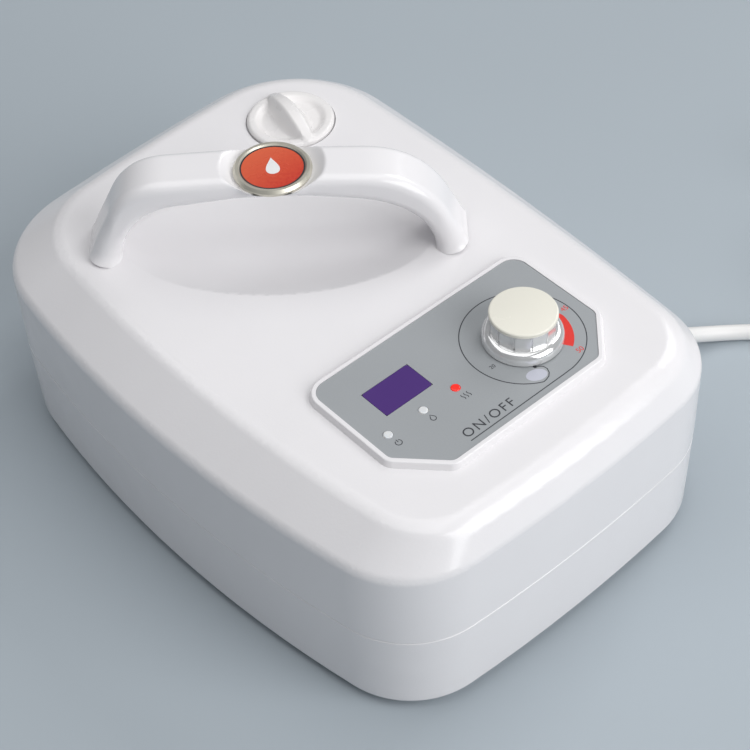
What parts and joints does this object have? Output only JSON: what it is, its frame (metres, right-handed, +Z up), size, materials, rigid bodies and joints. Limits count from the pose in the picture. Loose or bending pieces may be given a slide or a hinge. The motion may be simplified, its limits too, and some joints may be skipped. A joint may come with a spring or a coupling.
{
  "type": "compression therapy machine",
  "caption": "Portable water-circulating therapy unit: white moulded housing with arched handle, fill cap, dial panel, hose nozzles and coiled mains cord.",
  "frame": {"origin": "on the table, under the middle of the housing with its nozzles, cord left out", "axes": "+X to the right along the panel, +Y to the back where the nozzles are, +Z up"},
  "size_m": [0.4187, 0.3411, 0.1412],
  "materials": {
    "shell_white": "moulded gloss white",
    "handle_white": "moulded gloss white",
    "screw_steel": "plain zinc-plated steel",
    "badge_ring": "champagne satin ring",
    "badge_face": "domed red gloss",
    "panel_grey": "printed satin film",
    "display_violet": "dark violet filter",
    "module_black": "moulded black",
    "lamp_white": "milky light pipe",
    "lamp_red": "red light pipe",
    "knob_chrome": "bright plated plastic",
    "knob_cream": "cream gloss",
    "board_green": "solder-masked laminate",
    "transformer_iron": "varnished core",
    "tank_milky": "natural polypropylene",
    "float_foam": "closed-cell float",
    "cap_white": "moulded gloss white",
    "seal_rubber": "black sealing rubber",
    "pump_black": "moulded black",
    "heater_metal": "cast block",
    "hose_silicone": "milky silicone",
    "nozzle_plastic": "light grey acetal",
    "feet_rubber": "black rubber",
    "cord_white": "white flexible sheath",
    "tie_white": "white strap",
    "plug_white": "moulded white",
    "pin_brass": "bare brass"
  },
  "bodies": {
    "housing": {"lower_shell": "shell_white", "upper_shell": "shell_white", "carry_handle": "handle_white", "handle_screws": "screw_steel", "badge_ring": "badge_ring", "badge_disc": "badge_face", "panel_overlay": "panel_grey", "display_window": "display_violet", "display_module": "module_black", "lamp_power": "lamp_white", "lamp_water": "lamp_white", "lamp_heat": "lamp_red", "rotary_control": "module_black", "control_nut": "screw_steel", "control_board": "board_green", "board_screws": "screw_steel", "power_board": "board_green", "transformer": "transformer_iron", "terminal_block": "module_black", "tank_base": "tank_milky", "tank_lid": "tank_milky", "float_guide": "tank_milky", "pump_body": "pump_black", "pump_cover": "pump_black", "pump_shaft": "screw_steel", "heater_block": "heater_metal", "thermal_cutout": "module_black", "cutout_strap": "screw_steel", "hose_tank_pump": "hose_silicone", "hose_pump_heater": "hose_silicone", "hose_heater_outlet": "hose_silicone", "hose_return": "hose_silicone", "hose_clamps": "screw_steel", "outlet_nozzle": "nozzle_plastic", "return_nozzle": "nozzle_plastic", "nozzle_washers": "seal_rubber", "nozzle_nuts": "nozzle_plastic", "rubber_feet": "feet_rubber", "case_screws": "screw_steel", "cord_gland": "cord_white", "cord_tail": "cord_white", "cord_clamp": "nozzle_plastic", "power_cord": "cord_white", "cord_coil": "cord_white", "coil_tie": "tie_white", "plug_body": "plug_white", "plug_pins": "pin_brass"},
    "dial": {"dial_knob": "knob_chrome", "knob_cap": "knob_cream", "dial_shaft": "screw_steel"},
    "cap_seal": {"cap_seal": "seal_rubber"},
    "fill_cap": {"fill_cap": "cap_white"},
    "impeller": {"pump_impeller": "pump_black"},
    "float": {"level_float": "float_foam"}
  },
  "joints": [
    {"name": "dial_turn", "type": "hinge", "parent": "housing", "child": "dial", "pos_m": [0.029, -0.09, 0.105], "axis": [0, 0, -1], "range_deg": [0, 300]},
    {"name": "cap_lift", "type": "slide", "parent": "housing", "child": "cap_seal", "axis": [0, 0, 1], "range_m": [0, 0.045]},
    {"name": "cap_turn", "type": "hinge", "parent": "cap_seal", "child": "fill_cap", "pos_m": [0.0516, 0.0817, 0.1], "axis": [0, 0, 1], "range_deg": [0, 540]},
    {"name": "impeller_spin", "type": "hinge", "parent": "housing", "child": "impeller", "pos_m": [-0.02, -0.03, 0.03], "axis": [0, 1, 0], "continuous": true},
    {"name": "float_rise", "type": "slide", "parent": "housing", "child": "float", "axis": [0, 0, 1], "range_m": [0, 0.018]}
  ]
}
